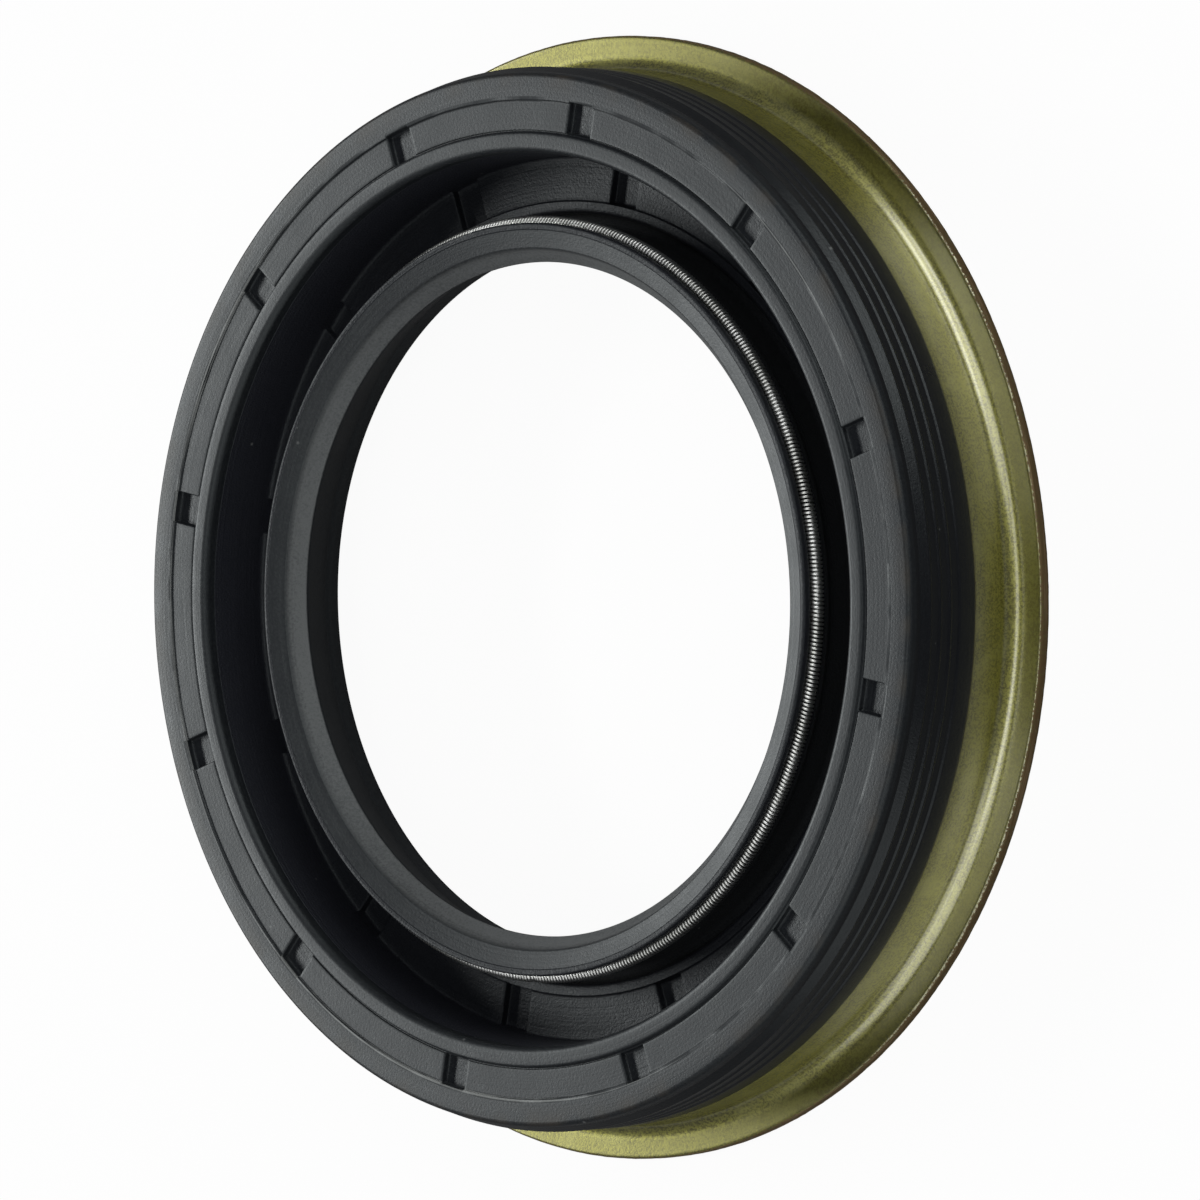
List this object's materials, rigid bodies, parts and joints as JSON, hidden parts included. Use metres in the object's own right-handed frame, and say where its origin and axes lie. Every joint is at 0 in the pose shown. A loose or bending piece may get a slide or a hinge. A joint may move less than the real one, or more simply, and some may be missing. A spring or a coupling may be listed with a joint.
{
  "type": "radial shaft seal",
  "caption": "Flanged radial shaft seal: a ribbed rubber coat seals against the housing and a spring-loaded lip seals against a turning shaft.",
  "frame": {"origin": "centre of the seal in the plane of the flange's back face", "axes": "+Z along the shaft axis towards the notched oil-side face; +X through the middle of one notch"},
  "size_m": [0.0984, 0.0984, 0.0137],
  "materials": {
    "case": "satin olive passivated zinc, with a brown sheared rim",
    "rubber_body": "matte, finely turned",
    "garter_spring": "bright drawn wire"
  },
  "bodies": {
    "root": {"case": "case", "rubber_body": "rubber_body", "garter_spring": "garter_spring"}
  },
  "joints": []
}
